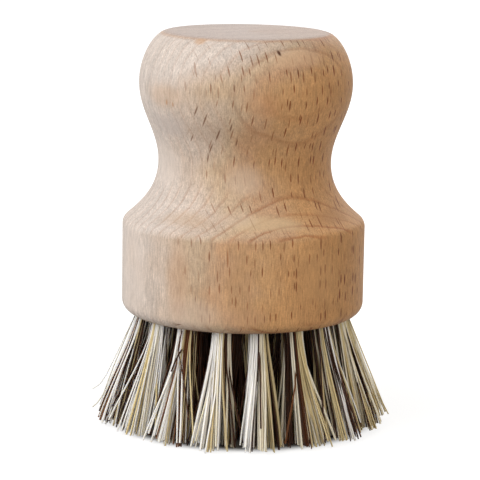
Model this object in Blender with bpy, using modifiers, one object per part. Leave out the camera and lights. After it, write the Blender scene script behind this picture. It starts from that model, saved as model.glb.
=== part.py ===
"""Round pot brush: a turned beech block with stapled tufts of mixed plant fibre.

The block is one piece of beech, turned to a drum with a waisted knob above it.
Its underside has three rings of blind bores. Each bore holds one tuft, a bundle
of fibres folded over the crown of a wire staple whose legs grip the wood above
the bore. The tufts fan out and are trimmed level.

Metres, +Z up. The trimmed tips stand on z = 0 and the block's axis is the Z axis.
"""

import math
import random
from collections import namedtuple

import bmesh
import bpy
from mathutils import Matrix, Vector
from mathutils.geometry import interpolate_bezier

# Whole brush
BRISTLE_REACH = 0.0229
BRISTLE_FLARE = 0.0052
CLEARANCE = 0.0003
OVERRUN = 0.001
WELD_DISTANCE = 0.00003

# Turned block, heights from its underside
BLOCK_HEIGHT = 0.0580
DRUM_RADIUS = 0.0250
RIDGE_HEIGHT = 0.01925
WAIST_RADIUS = 0.01775
WAIST_HEIGHT = 0.0314
HEAD_RADIUS = 0.02185
HEAD_HEIGHT = 0.0475
CROWN_RADIUS = 0.0164
FOOT_ROUNDING = 0.0026
RIDGE_ROUNDING = 0.0007
CROWN_ROUNDING = 0.0008
COVE_START_ANGLE = math.radians(49.5)
CROWN_START_ANGLE = math.radians(67.7)
COVE_TOP_PULL_SHARE = 0.50
COVE_FOOT_PULL_SHARE = 0.33
NECK_PULL_SHARE = 0.373
HEAD_PULL_SHARE = 0.476
CROWN_PULL_SHARE = 0.293
ROUNDING_PULL_SHARE = 0.55
CURVE_POINTS = 6
ROUNDING_POINTS = 3
BLOCK_STEPS = 48

# Bores and their three rings, from the middle out
BORE_RADIUS = 0.0022
BORE_DEPTH = 0.0085
BORE_SIDES = 12
RIM_WALL = 0.0028
CORE_RADIUS = 0.0007
RING_NAMES = ("inner", "middle", "outer")
RING_COUNTS = (3, 9, 17)
RING_PLACE_SHARES = (0.24, 0.62, 1.0)
RING_START_ANGLES = (math.radians(30.0), math.radians(-10.0), math.radians(-80.5))

# Staples
WIRE_RADIUS = 0.0004
WIRE_BEND = 0.0005
FOLD_THICKNESS = 0.0022
LEG_GRIP = 0.0035
POCKET_SIDES = 6

# Tufts
ROOT_RECESS = 0.0010
STRAND_SIDES = 3
STRAND_CIRCLE_COUNTS = (4, 9)
STRAND_CIRCLE_SHARES = (0.42, 1.0)
STRAND_SEAT = 0.0008
STRAND_ROOT_RADIUS = 0.0003
STRAND_TIP_RADIUS = 0.00065
STRAND_JITTER = 0.00025
GAP_LEVELS = 9
FIBRE_SEED = 17

Ring = namedtuple("Ring", "name count start_angle bore_ring inner_edge outer_edge lean")


def clear_scene():
    """Remove every object of the open file."""
    for thing in list(bpy.data.objects):
        bpy.data.objects.remove(thing, do_unlink=True)


def new_collection(name):
    """Make a collection under the scene."""
    collection = bpy.data.collections.new(name)
    bpy.context.scene.collection.children.link(collection)
    return collection


def new_material(name, colour, roughness, metallic=0.0):
    """Make a Principled BSDF finish."""
    material = bpy.data.materials.new(name)
    material.use_nodes = True
    shader = material.node_tree.nodes["Principled BSDF"]
    shader.inputs["Base Color"].default_value = (*colour, 1.0)
    shader.inputs["Roughness"].default_value = roughness
    shader.inputs["Metallic"].default_value = metallic
    return material


def new_object(name, data, collection, parent=None, place=None):
    """Link an object to a collection, on its parent at its place."""
    thing = bpy.data.objects.new(name, data)
    collection.objects.link(thing)
    thing.parent = parent
    if place is not None:
        thing.matrix_basis = place
    return thing


def hide_as_cutter(thing):
    """Show a cutter as a wire and keep it out of the model."""
    thing.hide_render = True
    thing.display_type = "WIRE"


def mesh_from(shape, name):
    """Turn a bmesh into mesh data and free it."""
    data = bpy.data.meshes.new(name)
    shape.to_mesh(data)
    shape.free()
    return data


def rounded_corner(before, corner, after, rounding):
    """Points of a soft corner, reached from one neighbour and left towards the other."""
    start = corner + (before - corner).normalized() * rounding
    end = corner + (after - corner).normalized() * rounding
    pull_in = start.lerp(corner, ROUNDING_PULL_SHARE)
    pull_out = end.lerp(corner, ROUNDING_PULL_SHARE)
    return list(interpolate_bezier(start, pull_in, pull_out, end, ROUNDING_POINTS + 1))


def block_profile():
    """Radius and height of the turned outline, from the crown's centre down to the foot's."""
    crown_centre = Vector((0.0, BLOCK_HEIGHT))
    crown = Vector((CROWN_RADIUS, BLOCK_HEIGHT))
    head = Vector((HEAD_RADIUS, HEAD_HEIGHT))
    waist = Vector((WAIST_RADIUS, WAIST_HEIGHT))
    ridge = Vector((DRUM_RADIUS, RIDGE_HEIGHT))
    foot = Vector((DRUM_RADIUS, 0.0))
    foot_centre = Vector((0.0, 0.0))
    up = Vector((0.0, 1.0))

    head_rise = BLOCK_HEIGHT - HEAD_HEIGHT
    neck_rise = HEAD_HEIGHT - WAIST_HEIGHT
    cove_rise = WAIST_HEIGHT - RIDGE_HEIGHT
    crown_way = Vector((math.sin(CROWN_START_ANGLE), -math.cos(CROWN_START_ANGLE)))
    cove_way = Vector((-math.sin(COVE_START_ANGLE), math.cos(COVE_START_ANGLE)))

    crown_pull = crown + crown_way * head_rise * CROWN_PULL_SHARE
    head_pull_up = head + up * head_rise * HEAD_PULL_SHARE
    head_pull_down = head - up * neck_rise * NECK_PULL_SHARE
    waist_pull_up = waist + up * neck_rise * NECK_PULL_SHARE
    waist_pull_down = waist - up * cove_rise * COVE_TOP_PULL_SHARE
    ridge_pull = ridge + cove_way * cove_rise * COVE_FOOT_PULL_SHARE

    crown_edge = rounded_corner(crown_centre, crown, crown_pull, CROWN_ROUNDING)
    ridge_edge = rounded_corner(ridge_pull, ridge, foot, RIDGE_ROUNDING)
    foot_edge = rounded_corner(ridge, foot, foot_centre, FOOT_ROUNDING)

    points = [crown_centre]
    points += crown_edge
    points += interpolate_bezier(crown_edge[-1], crown_pull, head_pull_up, head, CURVE_POINTS)[1:]
    points += interpolate_bezier(head, head_pull_down, waist_pull_up, waist, CURVE_POINTS + 1)[1:]
    points += interpolate_bezier(waist, waist_pull_down, ridge_pull, ridge_edge[0], CURVE_POINTS)[1:-1]
    points += ridge_edge
    points += foot_edge
    points.append(foot_centre)
    return points


def brush_rings():
    """The rings of bores, each with its share of the trimmed tips.

    The outer bores keep a rim of wood outside them, and the other rings are shares
    of their radius. The tips cover a disc that is shared out in bands, so that every
    tuft gets the same area. Each bore leans, so that it points at the middle of its
    ring's band.
    """
    outer_bores = DRUM_RADIUS - RIM_WALL - BORE_RADIUS
    tip_spread = DRUM_RADIUS + BRISTLE_FLARE
    core_area = CORE_RADIUS ** 2
    tip_area = tip_spread ** 2 - core_area
    rings = []
    inner_edge = CORE_RADIUS
    tufts_so_far = 0
    for order, count in enumerate(RING_COUNTS):
        tufts_so_far += count
        outer_edge = math.sqrt(core_area + tip_area * tufts_so_far / sum(RING_COUNTS))
        bore_ring = outer_bores * RING_PLACE_SHARES[order]
        lean = math.atan2((inner_edge + outer_edge) / 2 - bore_ring, BRISTLE_REACH)
        name = RING_NAMES[order]
        start_angle = RING_START_ANGLES[order]
        rings.append(Ring(name, count, start_angle, bore_ring, inner_edge, outer_edge, lean))
        inner_edge = outer_edge
    return rings


def bore_place(ring, angle):
    """Place of a bore's mouth on the underside, with its local Z running up the bore."""
    turn = Matrix.Rotation(angle, 4, "Z")
    step_out = Matrix.Translation((ring.bore_ring, 0.0, 0.0))
    tip_over = Matrix.Rotation(-ring.lean, 4, "Y")
    return turn @ step_out @ tip_over


def leg_spacing():
    """Distance of a staple's leg from its bore's axis, clear of the bore's flats."""
    return BORE_RADIUS * math.cos(math.pi / BORE_SIDES) - CLEARANCE - WIRE_RADIUS


def crown_height():
    """Height of a staple's crown above its bore's mouth."""
    return BORE_DEPTH - CLEARANCE - FOLD_THICKNESS


def staple_curve(name, radius, leg_top):
    """A wire bent to a U: the crown along the bore's ring and two legs up to their tops."""
    half = leg_spacing()
    low = crown_height()
    route = [
        (0.0, -half, leg_top),
        (0.0, -half, low + WIRE_BEND),
        (0.0, -half + WIRE_BEND, low),
        (0.0, half - WIRE_BEND, low),
        (0.0, half, low + WIRE_BEND),
        (0.0, half, leg_top),
    ]
    curve = bpy.data.curves.new(name, "CURVE")
    curve.dimensions = "3D"
    curve.bevel_depth = radius
    curve.bevel_resolution = 1
    curve.use_fill_caps = True
    spline = curve.splines.new("POLY")
    spline.points.add(len(route) - 1)
    for point, place in zip(spline.points, route):
        point.co = (*place, 1.0)
    return curve


def mesh_from_curve(curve, name, collection):
    """Weld the caps of a curve's tube and return it as mesh data."""
    tube = new_object(name, curve, collection)
    graph = bpy.context.evaluated_depsgraph_get()
    data = bpy.data.meshes.new_from_object(tube.evaluated_get(graph))
    data.transform(tube.matrix_world)
    bpy.data.objects.remove(tube, do_unlink=True)
    shape = bmesh.new()
    shape.from_mesh(data)
    bmesh.ops.remove_doubles(shape, verts=shape.verts, dist=WELD_DISTANCE)
    shape.to_mesh(data)
    shape.free()
    return data


def upright_cylinder(shape, radius, bottom, top, sides, offset=0.0):
    """Add a closed cylinder along Z between two heights."""
    middle = Matrix.Translation((0.0, offset, (bottom + top) / 2))
    bmesh.ops.create_cone(
        shape,
        cap_ends=True,
        segments=sides,
        radius1=radius,
        radius2=radius,
        depth=top - bottom,
        matrix=middle,
    )


def bore_mesh(cutters):
    """The space of one bore: the blind hole and the two pockets of the staple's legs."""
    hole = bmesh.new()
    upright_cylinder(hole, BORE_RADIUS, -OVERRUN, BORE_DEPTH, BORE_SIDES)
    bore = new_object("bore_shape", mesh_from(hole, "bore_shape"), cutters)
    pocket_radius = WIRE_RADIUS + CLEARANCE
    pocket_top = BORE_DEPTH + LEG_GRIP + CLEARANCE
    pockets = bmesh.new()
    for side in (-1, 1):
        low = BORE_DEPTH - OVERRUN
        upright_cylinder(pockets, pocket_radius, low, pocket_top, POCKET_SIDES, side * leg_spacing())
    pocket_pair = new_object("pocket_shape", mesh_from(pockets, "pocket_shape"), cutters)
    return baked(bore, "UNION", pocket_pair, "bore")


def plug_mesh(cutters):
    """A tuft's packed root: a plug with the staple's channel through its fold."""
    plug = bmesh.new()
    upright_cylinder(plug, BORE_RADIUS - CLEARANCE, ROOT_RECESS, BORE_DEPTH - CLEARANCE, BORE_SIDES)
    root = new_object("plug_shape", mesh_from(plug, "plug_shape"), cutters)
    channel_curve = staple_curve("channel_route", WIRE_RADIUS + CLEARANCE, BORE_DEPTH + OVERRUN)
    channel_mesh = mesh_from_curve(channel_curve, "channel_shape", cutters)
    channel = new_object("channel_shape", channel_mesh, cutters)
    return baked(root, "DIFFERENCE", channel, "tuft_root")


def add_boolean(thing, operation, other):
    """Add an exact Boolean with one other object."""
    modifier = thing.modifiers.new(operation.title(), "BOOLEAN")
    modifier.operation = operation
    modifier.solver = "EXACT"
    modifier.object = other


def baked(thing, operation, other, name):
    """Mesh data of one object after a Boolean with another, both of which are then removed."""
    add_boolean(thing, operation, other)
    graph = bpy.context.evaluated_depsgraph_get()
    data = bpy.data.meshes.new_from_object(thing.evaluated_get(graph))
    data.name = name
    bpy.data.objects.remove(thing, do_unlink=True)
    bpy.data.objects.remove(other, do_unlink=True)
    return data


def strand_ends(ring, chance):
    """Root and tip of each strand of one tuft, seen along its ring's radius.

    Roots and tips lie on the same two circles, small in the bore and widened to
    the tuft's part of the band, so that strands fan out without crossing.
    """
    root_height = ROOT_RECESS + STRAND_SEAT
    root_spread = BORE_RADIUS - 2 * CLEARANCE - STRAND_ROOT_RADIUS
    root_centre = ring.bore_ring - math.tan(ring.lean) * root_height
    margin = STRAND_TIP_RADIUS + STRAND_JITTER + CLEARANCE / 2
    tip_centre = (ring.inner_edge + ring.outer_edge) / 2
    tip_depth = (ring.outer_edge - ring.inner_edge) / 2 - margin
    tip_width = tip_centre * math.sin(math.pi / ring.count) - margin
    ends = []
    for strands, share in zip(STRAND_CIRCLE_COUNTS, STRAND_CIRCLE_SHARES):
        for order in range(strands):
            angle = math.tau * order / strands
            along = math.cos(angle) * share
            across = math.sin(angle) * share
            shift = chance.uniform(-STRAND_JITTER, STRAND_JITTER)
            slip = chance.uniform(-STRAND_JITTER, STRAND_JITTER)
            root = Vector((root_centre + along * root_spread, across * root_spread, root_height))
            tip_out = tip_centre + along * tip_depth + shift
            tip = Vector((tip_out, across * tip_width + slip, -BRISTLE_REACH))
            ends.append((root, tip))
    return ends


def add_strand(shape, root, tip, turn):
    """Add one strand: a prism between a small level triangle and a wider one."""
    rise = root.z - tip.z
    middle = (root + tip) / 2
    slant = Matrix((
        (1.0, 0.0, (root.x - tip.x) / rise, middle.x),
        (0.0, 1.0, (root.y - tip.y) / rise, middle.y),
        (0.0, 0.0, 1.0, middle.z),
        (0.0, 0.0, 0.0, 1.0),
    ))
    bmesh.ops.create_cone(
        shape,
        cap_ends=True,
        segments=STRAND_SIDES,
        radius1=STRAND_TIP_RADIUS,
        radius2=STRAND_ROOT_RADIUS,
        depth=rise,
        matrix=slant @ Matrix.Rotation(turn, 4, "Z"),
    )


def least_gap(strands):
    """Least distance between any two strands, less their radii, at levels along their length."""
    least = math.inf
    for level in range(GAP_LEVELS):
        share = level / (GAP_LEVELS - 1)
        radius = STRAND_ROOT_RADIUS + (STRAND_TIP_RADIUS - STRAND_ROOT_RADIUS) * share
        places = [root.lerp(tip, share) for root, tip in strands]
        for order, place in enumerate(places):
            for other in places[order + 1:]:
                least = min(least, (place - other).length - 2 * radius)
    return least


def build_block(parts, bores, finish):
    """The turned block with its bores cut out. Its origin is the centre of its underside."""
    profile = bmesh.new()
    corners = [profile.verts.new((point.x, 0.0, point.y)) for point in block_profile()]
    for upper, lower in zip(corners, corners[1:]):
        profile.edges.new((upper, lower))
    block = new_object("beech_block", mesh_from(profile, "beech_block"), parts)
    block.location.z = BRISTLE_REACH
    block.data.materials.append(finish)

    turning = block.modifiers.new("Turning", "SCREW")
    turning.axis = "Z"
    turning.steps = BLOCK_STEPS
    turning.render_steps = BLOCK_STEPS
    turning.use_merge_vertices = True
    turning.merge_threshold = WELD_DISTANCE
    turning.use_smooth_shade = True

    boring = block.modifiers.new("Boring", "BOOLEAN")
    boring.operation = "DIFFERENCE"
    boring.solver = "EXACT"
    boring.operand_type = "COLLECTION"
    boring.collection = bores
    return block


def build_strands(name, ends, ring, place, block, cutters, chance):
    """The fan of strands that is joined to one tuft's root."""
    fan = bmesh.new()
    for root, tip in ends:
        add_strand(fan, root, tip, chance.uniform(0.0, math.tau))
    bmesh.ops.transform(fan, matrix=bore_place(ring, 0.0).inverted(), verts=fan.verts)
    strands = new_object(name, mesh_from(fan, name), cutters, block, place)
    hide_as_cutter(strands)
    return strands


def build_brush():
    """Build the whole brush, ring by ring."""
    clear_scene()
    parts = new_collection("pot_brush")
    bores = new_collection("bores")
    cutters = new_collection("cutters")
    beech = new_material("beech", (0.62, 0.42, 0.26), 0.6)
    fibre = new_material("union_fibre", (0.60, 0.52, 0.38), 0.7)
    wire = new_material("galvanised_wire", (0.62, 0.63, 0.64), 0.35, 1.0)

    block = build_block(parts, bores, beech)
    bore = bore_mesh(cutters)
    root_shape = plug_mesh(cutters)
    root_shape.materials.append(fibre)
    wire_route = staple_curve("staple", WIRE_RADIUS, BORE_DEPTH + LEG_GRIP)
    wire_route.materials.append(wire)
    chance = random.Random(FIBRE_SEED)
    all_ends = []

    for ring in brush_rings():
        for order in range(ring.count):
            label = f"{ring.name}_{order + 1:02d}"
            angle = ring.start_angle + math.tau * order / ring.count
            place = bore_place(ring, angle)
            hide_as_cutter(new_object("bore_" + label, bore, bores, block, place))
            new_object("staple_" + label, wire_route, parts, block, place)
            ends = strand_ends(ring, chance)
            strands = build_strands("strands_" + label, ends, ring, place, block, cutters, chance)
            tuft = new_object("tuft_" + label, root_shape, parts, block, place)
            add_boolean(tuft, "UNION", strands)
            turn = Matrix.Rotation(angle, 4, "Z")
            all_ends += [(turn @ root, turn @ tip) for root, tip in ends]

    print(f"{len(all_ends)} strands, least gap {least_gap(all_ends):.6f} m")


build_brush()
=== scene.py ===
"""Looks of a round pot brush: a turned beech knob with stapled tufts of union fibre.

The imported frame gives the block, the bores and the staples. This file turns a finer
block, folds real fibres over the staples, and dresses every piece. Lengths are in
metres, written as millimetres times MM, unless a class says that its own are in
millimetres. The trimmed tips stand on z = 0, and the side that the photograph shows
faces -Y.
"""

from __future__ import annotations

import logging
import math
import random
from dataclasses import dataclass, field, replace
from enum import Enum

import bmesh
import bpy
import numpy as np
from mathutils import Matrix, Vector
from mathutils.geometry import interpolate_bezier


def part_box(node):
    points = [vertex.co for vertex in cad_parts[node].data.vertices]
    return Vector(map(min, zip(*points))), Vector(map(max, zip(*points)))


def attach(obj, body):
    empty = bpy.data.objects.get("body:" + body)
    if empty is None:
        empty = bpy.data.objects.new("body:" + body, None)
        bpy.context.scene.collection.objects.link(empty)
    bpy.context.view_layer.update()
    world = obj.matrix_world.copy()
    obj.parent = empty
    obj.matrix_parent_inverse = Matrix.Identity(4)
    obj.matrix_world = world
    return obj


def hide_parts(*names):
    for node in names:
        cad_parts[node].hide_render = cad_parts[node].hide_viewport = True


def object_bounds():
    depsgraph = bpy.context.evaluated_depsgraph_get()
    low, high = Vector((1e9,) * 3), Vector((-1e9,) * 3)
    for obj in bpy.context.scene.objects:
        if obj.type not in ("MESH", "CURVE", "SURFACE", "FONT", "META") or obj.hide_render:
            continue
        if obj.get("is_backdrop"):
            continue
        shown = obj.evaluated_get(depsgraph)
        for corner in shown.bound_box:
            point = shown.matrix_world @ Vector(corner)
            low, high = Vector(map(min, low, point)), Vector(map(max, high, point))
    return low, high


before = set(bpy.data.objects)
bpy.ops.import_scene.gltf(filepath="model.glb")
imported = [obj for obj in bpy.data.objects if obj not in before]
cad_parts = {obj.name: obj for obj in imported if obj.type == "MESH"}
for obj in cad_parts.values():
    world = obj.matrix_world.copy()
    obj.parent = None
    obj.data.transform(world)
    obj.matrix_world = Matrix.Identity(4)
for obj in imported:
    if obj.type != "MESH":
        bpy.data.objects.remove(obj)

Tree = bpy.types.NodeTree
Node = bpy.types.Node
Socket = bpy.types.NodeSocket
Material = bpy.types.Material
Mesh = bpy.types.Mesh
Shape = bmesh.types.BMesh
Piece = bpy.types.Object

LOG = logging.getLogger("pot_brush")
MM = 0.001

# Node settings that come up again and again.
MULTIPLY = {"operation": "MULTIPLY"}
MULTIPLY_ADD = {"operation": "MULTIPLY_ADD"}
SUBTRACT = {"operation": "SUBTRACT"}
DIVIDE = {"operation": "DIVIDE"}
ABSOLUTE = {"operation": "ABSOLUTE"}
LENGTH = {"operation": "LENGTH"}
SCALE = {"operation": "SCALE"}
LAY_OVER = {"data_type": "RGBA"}
TINT = {"data_type": "RGBA", "blend_type": "MULTIPLY"}


def linear(colour: str) -> tuple[float, float, float, float]:
    """Turn an sRGB hex colour to Blender's linear colour.

    Args:
        colour: Six hex digits after a hash sign.

    Returns:
        Linear red, green and blue, and an alpha of 1.
    """
    channels = [int(colour[start : start + 2], 16) / 255 for start in (1, 3, 5)]
    flat = [c / 12.92 if c <= 0.04045 else ((c + 0.055) / 1.055) ** 2.4 for c in channels]
    return (flat[0], flat[1], flat[2], 1.0)


def add_node(
    tree: Tree,
    kind: str,
    settings: dict | None = None,
    sockets: dict | None = None,
    stops: tuple[tuple[float, str], ...] = (),
) -> Node:
    """Add a shader node with its settings, values and links.

    Args:
        tree: Node tree of a material or the world.
        kind: The node's type without its ShaderNode, such as Math.
        settings: The node's own properties, by name.
        sockets: What each input gets, by name or number: a value, an output, or a node
            for its first output.
        stops: Place and hex colour of each stop, for a colour ramp.

    Returns:
        The new node.
    """
    node = tree.nodes.new("ShaderNode" + kind)
    for name, value in (settings or {}).items():
        setattr(node, name, value)
    for key, value in (sockets or {}).items():
        if isinstance(value, Node):
            value = value.outputs[0]
        if isinstance(value, Socket):
            tree.links.new(value, node.inputs[key])
        else:
            node.inputs[key].default_value = value
    if stops:
        elements = node.color_ramp.elements
        while len(elements) < len(stops):
            elements.new(1.0)
        for element, (place, colour) in zip(elements, stops):
            element.position = place
            element.color = linear(colour)
    return node


def new_material(name: str, levels: dict) -> tuple[Material, Tree, Node]:
    """Make a material with its shader and output.

    Args:
        name: The material's name.
        levels: What the shader's own sockets get all over, by name.

    Returns:
        The material, its node tree and its Principled shader.
    """
    material = bpy.data.materials.new(name)
    material.use_nodes = True
    shader = material.node_tree.nodes["Principled BSDF"]
    for socket, level in levels.items():
        shader.inputs[socket].default_value = level
    return material, material.node_tree, shader


def mesh_of(shape: Shape, name: str) -> Mesh:
    """Turn a bmesh into mesh data and free it.

    Args:
        shape: The bmesh.
        name: The data's name.

    Returns:
        The mesh data.
    """
    data = bpy.data.meshes.new(name)
    shape.to_mesh(data)
    shape.free()
    return data


def new_piece(name: str, data: Mesh, finish: Material) -> Piece:
    """Link a finished mesh to the scene as an object at the origin.

    Args:
        name: The piece's name.
        data: Its mesh, with its place in it.
        finish: Its material.

    Returns:
        The new object.
    """
    data.materials.clear()
    data.materials.append(finish)
    piece = bpy.data.objects.new(name, data)
    bpy.context.scene.collection.objects.link(piece)
    return piece


@dataclass(frozen=True)
class Fade:
    """How a level eases from its first value to its last between two limits of a measure."""

    start: float
    end: float
    first: float | Node = 0.0
    last: float = 1.0

    @property
    def run(self) -> str:
        """How Map Range goes from one limit to the other."""
        return "SMOOTHSTEP"

    def of(self, measure: Node | Socket) -> tuple[dict, dict]:
        """Settings and inputs of the Map Range node that fades by this measure."""
        sockets = {0: measure, 1: self.start, 2: self.end, 3: self.first, 4: self.last}
        return {"interpolation_type": self.run}, sockets


class Ramp(Fade):
    """A fade that runs in a straight line."""

    @property
    def run(self) -> str:
        """How Map Range goes from one limit to the other."""
        return "LINEAR"


def multiplied(tree: Tree, level: Node, *fades: tuple[Fade, Node | Socket]) -> Node:
    """Multiply a level by what each fade makes of its measure.

    Args:
        tree: The material's node tree.
        level: The level so far.
        fades: Each fade with its measure.

    Returns:
        The product.
    """
    for fade, measure in fades:
        share = add_node(tree, "MapRange", *fade.of(measure))
        level = add_node(tree, "Math", MULTIPLY, {0: level, 1: share})
    return level


@dataclass(frozen=True)
class Ring:
    """One ring of bores, with the band of trimmed tips that its tufts cover."""

    name: str
    count: int
    start_angle: float
    bore_ring: float
    inner_edge: float
    outer_edge: float
    lean: float


@dataclass(frozen=True)
class Seat:
    """One tuft's place: its ring, and its number in the ring from 0."""

    ring: Ring
    order: int

    @property
    def angle(self) -> float:
        """Angle round the block's axis."""
        return self.ring.start_angle + math.tau * self.order / self.ring.count

    @property
    def label(self) -> str:
        """Name of the place, as the frame's nodes have it."""
        return f"{self.ring.name}_{self.order + 1:02d}"


@dataclass(frozen=True)
class BrushLayout:
    """Where the bores, staples and tufts lie."""

    underside: float
    crown: float
    drum_radius: float
    flare: float = 5.2 * MM
    rim_wall: float = 2.8 * MM
    bore_radius: float = 2.2 * MM
    bore_depth: float = 8.5 * MM
    core_radius: float = 0.7 * MM
    wire_radius: float = 0.4 * MM
    staple_crown: float = 6.0 * MM
    names: tuple[str, ...] = ("inner", "middle", "outer")
    counts: tuple[int, ...] = (3, 9, 17)
    place_shares: tuple[float, ...] = (0.24, 0.62, 1.0)
    start_degrees: tuple[float, ...] = (30.0, -10.0, -80.5)

    @classmethod
    def from_frame(cls) -> BrushLayout:
        """Read the block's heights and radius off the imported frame."""
        low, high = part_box("beech_block")
        return cls(underside=low.z, crown=high.z, drum_radius=(high.x - low.x) / 2)

    def rings(self) -> list[Ring]:
        """Lay out the rings, from the middle out.

        Returns:
            The rings. Every tuft gets the same area of the disc of trimmed tips.
        """
        outer_bores = self.drum_radius - self.rim_wall - self.bore_radius
        core_area = self.core_radius**2
        tip_area = (self.drum_radius + self.flare) ** 2 - core_area
        rings: list[Ring] = []
        inner_edge = self.core_radius
        tufts = 0
        for name, count, share, start in zip(
            self.names, self.counts, self.place_shares, self.start_degrees
        ):
            tufts += count
            outer_edge = math.sqrt(core_area + tip_area * tufts / sum(self.counts))
            bore_ring = outer_bores * share
            lean = math.atan2((inner_edge + outer_edge) / 2 - bore_ring, self.underside)
            rings.append(
                Ring(name, count, math.radians(start), bore_ring, inner_edge, outer_edge, lean)
            )
            inner_edge = outer_edge
        return rings

    def seats(self) -> list[Seat]:
        """List every tuft's seat, ring by ring from the middle out."""
        return [Seat(ring, order) for ring in self.rings() for order in range(ring.count)]

    def turn(self, seat: Seat) -> Matrix:
        """Place of the block's underside, turned so that +X points at one seat's bore."""
        lift = Matrix.Translation((0.0, 0.0, self.underside))
        return lift @ Matrix.Rotation(seat.angle, 4, "Z")

    def bore_place(self, seat: Seat) -> Matrix:
        """Place of a bore's mouth, with local Z up the bore and local X along the radius."""
        step_out = Matrix.Translation((seat.ring.bore_ring, 0.0, 0.0))
        return self.turn(seat) @ step_out @ Matrix.Rotation(-seat.ring.lean, 4, "Y")

    def drift_from_frame(self) -> float:
        """Measure how far the frame's staples stand from where this layout expects them.

        Returns:
            The greatest distance from a bore's axis to the middle of its staple's box.
        """
        drift = 0.0
        for seat in self.seats():
            low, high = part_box("staple_" + seat.label)
            wire = self.bore_place(seat).inverted() @ ((low + high) / 2)
            drift = max(drift, Vector((wire.x, wire.y)).length)
        return drift


@dataclass(frozen=True)
class TurnedOutline:
    """The block's turned outline, with heights from its underside."""

    height: float
    drum_radius: float
    ridge_height: float = 19.25 * MM
    waist_radius: float = 17.75 * MM
    waist_height: float = 31.4 * MM
    head_radius: float = 21.85 * MM
    head_height: float = 47.5 * MM
    crown_radius: float = 16.4 * MM
    foot_rounding: float = 2.6 * MM
    ridge_rounding: float = 0.9 * MM
    crown_rounding: float = 0.7 * MM
    cove_start: float = math.radians(49.5)
    crown_start: float = math.radians(67.7)
    cove_top_share: float = 0.50
    cove_foot_share: float = 0.33
    neck_share: float = 0.373
    head_share: float = 0.476
    crown_share: float = 0.293
    rounding_share: float = 0.55
    curve_points: int = 28
    rounding_points: int = 9

    def soft_corner(
        self, before: Vector, corner: Vector, after: Vector, size: float
    ) -> list[Vector]:
        """Round a corner off.

        Args:
            before: A point on the side that comes first.
            corner: The sharp corner.
            after: A point on the side that comes next.
            size: Distance from the corner at which the rounding starts.

        Returns:
            Points of the rounding, in order.
        """
        start = corner + (before - corner).normalized() * size
        end = corner + (after - corner).normalized() * size
        pull_in = start.lerp(corner, self.rounding_share)
        pull_out = end.lerp(corner, self.rounding_share)
        return list(interpolate_bezier(start, pull_in, pull_out, end, self.rounding_points))

    def points(self) -> list[Vector]:
        """Work out the outline from the crown's centre down to the underside's.

        Returns:
            Radius and height of each point.
        """
        crown_centre = Vector((0.0, self.height))
        crown = Vector((self.crown_radius, self.height))
        head = Vector((self.head_radius, self.head_height))
        waist = Vector((self.waist_radius, self.waist_height))
        ridge = Vector((self.drum_radius, self.ridge_height))
        foot = Vector((self.drum_radius, 0.0))
        foot_centre = Vector((0.0, 0.0))
        up = Vector((0.0, 1.0))
        head_rise = self.height - self.head_height
        neck_pull = up * (self.head_height - self.waist_height) * self.neck_share
        cove_rise = self.waist_height - self.ridge_height
        crown_way = Vector((math.sin(self.crown_start), -math.cos(self.crown_start)))
        cove_way = Vector((-math.sin(self.cove_start), math.cos(self.cove_start)))

        crown_pull = crown + crown_way * head_rise * self.crown_share
        ridge_pull = ridge + cove_way * cove_rise * self.cove_foot_share
        crown_edge = self.soft_corner(crown_centre, crown, crown_pull, self.crown_rounding)
        ridge_edge = self.soft_corner(ridge_pull, ridge, foot, self.ridge_rounding)
        foot_edge = self.soft_corner(ridge, foot, foot_centre, self.foot_rounding)
        curves = (
            (crown_edge[-1], crown_pull, head + up * head_rise * self.head_share, head),
            (head, head - neck_pull, waist + neck_pull, waist),
            (waist, waist - up * cove_rise * self.cove_top_share, ridge_pull, ridge_edge[0]),
        )
        side = [
            point
            for curve in curves
            for point in interpolate_bezier(*curve, self.curve_points)[1:]
        ]
        return [crown_centre, *crown_edge, *side[:-1], *ridge_edge, *foot_edge, foot_centre]


@dataclass(frozen=True)
class Chip:
    """A small nick that handling left in the block's lower edge."""

    angle: float
    height: float
    half_width: float
    half_height: float
    depth: float


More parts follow.
